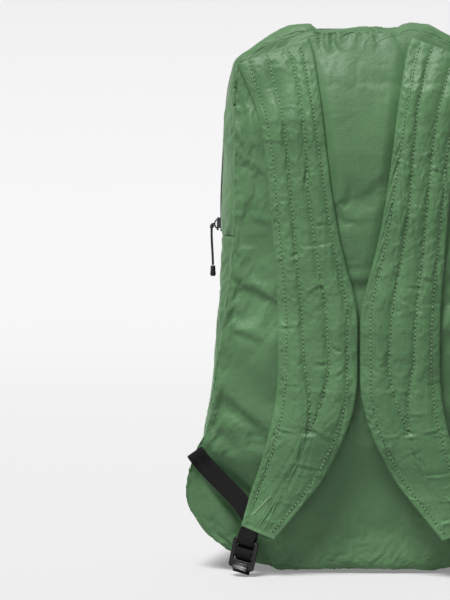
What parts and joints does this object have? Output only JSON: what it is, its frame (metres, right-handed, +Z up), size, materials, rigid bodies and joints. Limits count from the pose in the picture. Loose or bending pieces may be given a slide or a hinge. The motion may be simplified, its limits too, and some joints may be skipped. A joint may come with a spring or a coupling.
{
  "type": "packable backpack",
  "caption": "Light packable backpack of thin ripstop cloth, filled and standing, with a zipped gusset, wide quilted straps and webbing run through ladder locks.",
  "frame": {"origin": "on the floor under the middle of the bag, in the flat of its base", "axes": "+Z up, -Y towards the wearer's back (the side with the shoulder straps), +X to the right of that side as it is looked at"},
  "size_m": [0.287, 0.1771, 0.4507],
  "materials": {
    "ripstop": "satin",
    "strap_cloth": "satin",
    "webbing": "matte",
    "lock": "satin",
    "zip_tape": "matte",
    "zip_coil": "satin",
    "zip_slider": "satin",
    "pull_cord": "matte",
    "pull_grip": "matte"
  },
  "bodies": {
    "root": {"back_panel": "ripstop", "front_panel": "ripstop", "lower_gusset": "ripstop", "rear_gusset_strip": "ripstop", "front_gusset_strip": "ripstop", "zip_tape": "zip_tape", "zip_coil": "zip_coil", "zip_slider": "zip_slider", "zip_pull_cord": "pull_cord", "zip_pull_grip": "pull_grip", "shoulder_strap_left": "strap_cloth", "shoulder_strap_right": "strap_cloth", "strap_tab_left": "webbing", "strap_tab_right": "webbing", "ladder_lock_left": "lock", "ladder_lock_right": "lock", "side_webbing_left": "webbing", "side_webbing_right": "webbing"}
  },
  "joints": []
}
